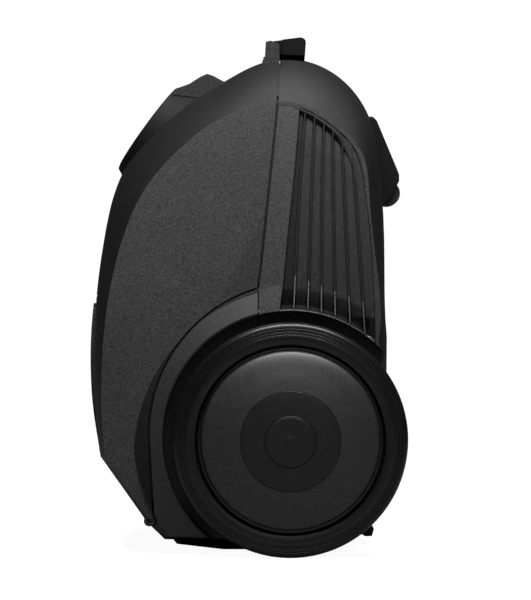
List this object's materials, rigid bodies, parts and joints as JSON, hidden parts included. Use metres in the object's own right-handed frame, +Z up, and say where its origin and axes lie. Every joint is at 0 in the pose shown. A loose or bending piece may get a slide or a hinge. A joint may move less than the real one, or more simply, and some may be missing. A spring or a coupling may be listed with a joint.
{
  "type": "canister vacuum cleaner body",
  "caption": "Bagged canister vacuum cleaner body parked on its rear end, with hinged dust lid, carrying handle, large domed side wheels and a swivel caster.",
  "frame": {"origin": "on the floor, at the middle of the outline's plan", "axes": "+Z up, which is the machine's front and hose end in this parked position; +X the machine's underside with the caster; Y along the wheel axle"},
  "size_m": [0.2454, 0.284, 0.4],
  "materials": {
    "shell_satin": "smooth satin black",
    "cover_grain": "fine grained black",
    "lid_grain": "fine grained black",
    "grille_grain": "fine grained charcoal",
    "dark_plastic": "dark matte",
    "latch_plastic": "satin",
    "pedal_plastic": "satin charcoal",
    "grip_rubber": "hatched soft grip",
    "seal_rubber": "matte",
    "tyre_rubber": "fine ringed soft tread",
    "wheel_grain": "grained dome",
    "wheel_satin": "smooth satin black",
    "steel": "plated",
    "motor_steel": "zinc plated",
    "fan_alloy": "pressed",
    "bag_fleece": "non-woven fleece",
    "collar_board": "plain card",
    "filter_foam": "pleated filter",
    "holder_plastic": "grey",
    "board": "glass epoxy"
  },
  "bodies": {
    "body": {"chassis": "shell_satin", "motor_cover": "cover_grain", "grille_left": "grille_grain", "grille_right": "grille_grain", "lid_seal": "seal_rubber", "lid_hinge_pins": "steel", "latch_keeper": "steel", "carry_handle": "grip_rubber", "bag_holder": "holder_plastic", "bag_collar": "collar_board", "dust_bag": "bag_fleece", "filter_frame": "holder_plastic", "motor_filter": "filter_foam", "exhaust_filter_left": "filter_foam", "exhaust_filter_right": "filter_foam", "motor_can": "motor_steel", "fan_cover": "motor_steel", "motor_mount_front": "seal_rubber", "motor_mount_rear": "seal_rubber", "control_board": "board", "mains_switch": "dark_plastic", "reel_axle": "steel", "reel_spring_case": "motor_steel", "reel_bracket": "dark_plastic", "cord_outlet": "seal_rubber", "rear_skid": "shell_satin", "skid_screws": "steel", "parking_foot": "shell_satin", "caster_pivot": "steel", "axle_left": "steel", "axle_clip_left": "steel", "axle_right": "steel", "axle_clip_right": "steel"},
    "lid": {"lid_shell": "lid_grain", "hose_inlet": "shell_satin", "inlet_seal": "seal_rubber", "latch_pin": "steel", "latch_spring": "steel"},
    "latch": {"latch_lever": "latch_plastic"},
    "power_pedal": {"power_pedal": "pedal_plastic"},
    "rewind_pedal": {"rewind_pedal": "pedal_plastic"},
    "wheel_left": {"tyre_left": "tyre_rubber", "wheel_left": "wheel_grain", "wheel_disc_left": "wheel_satin", "hub_cap_left": "wheel_satin"},
    "wheel_right": {"tyre_right": "tyre_rubber", "wheel_right": "wheel_grain", "wheel_disc_right": "wheel_satin", "hub_cap_right": "wheel_satin"},
    "caster": {"caster_fork": "shell_satin", "caster_axle": "steel"},
    "roller": {"caster_roller": "dark_plastic"},
    "fan": {"rotor_shaft": "steel", "impeller": "fan_alloy"},
    "reel": {"reel_drum": "holder_plastic"}
  },
  "joints": [
    {"name": "lid_hinge", "type": "hinge", "parent": "body", "child": "lid", "pos_m": [-0.0726, 0, 0.0256], "axis": [0, -1, 0], "range_deg": [0, 65]},
    {"name": "latch_hinge", "type": "hinge", "parent": "lid", "child": "latch", "pos_m": [0.0205, 0, 0.3905], "axis": [0, -1, 0], "range_deg": [0, 12], "stiffness_Nm_per_rad": 0.6, "springref_deg": -5.73},
    {"name": "power_press", "type": "slide", "parent": "body", "child": "power_pedal", "axis": [0.807, 0, 0.5905], "range_m": [0, 0.004], "stiffness_N_per_m": 900, "springref_m": -0.002},
    {"name": "rewind_press", "type": "slide", "parent": "body", "child": "rewind_pedal", "axis": [0.807, 0, 0.5905], "range_m": [0, 0.004], "stiffness_N_per_m": 900, "springref_m": -0.002},
    {"name": "wheel_left_spin", "type": "hinge", "parent": "body", "child": "wheel_left", "pos_m": [0.0343, 0, 0.0884], "axis": [0, 1, 0], "continuous": true},
    {"name": "wheel_right_spin", "type": "hinge", "parent": "body", "child": "wheel_right", "pos_m": [0.0343, 0, 0.0884], "axis": [0, 1, 0], "continuous": true},
    {"name": "caster_swivel", "type": "hinge", "parent": "body", "child": "caster", "pos_m": [0.09, 0, 0.3035], "axis": [1, 0, 0], "continuous": true},
    {"name": "caster_roll", "type": "hinge", "parent": "caster", "child": "roller", "pos_m": [0.1123, 0, 0.278], "axis": [0, 1, 0], "continuous": true},
    {"name": "fan_spin", "type": "hinge", "parent": "body", "child": "fan", "pos_m": [0.038, 0, 0.1], "axis": [0, 0, 1], "continuous": true},
    {"name": "reel_spin", "type": "hinge", "parent": "body", "child": "reel", "pos_m": [-0.05, 0, 0.092], "axis": [1, 0, 0], "continuous": true}
  ]
}
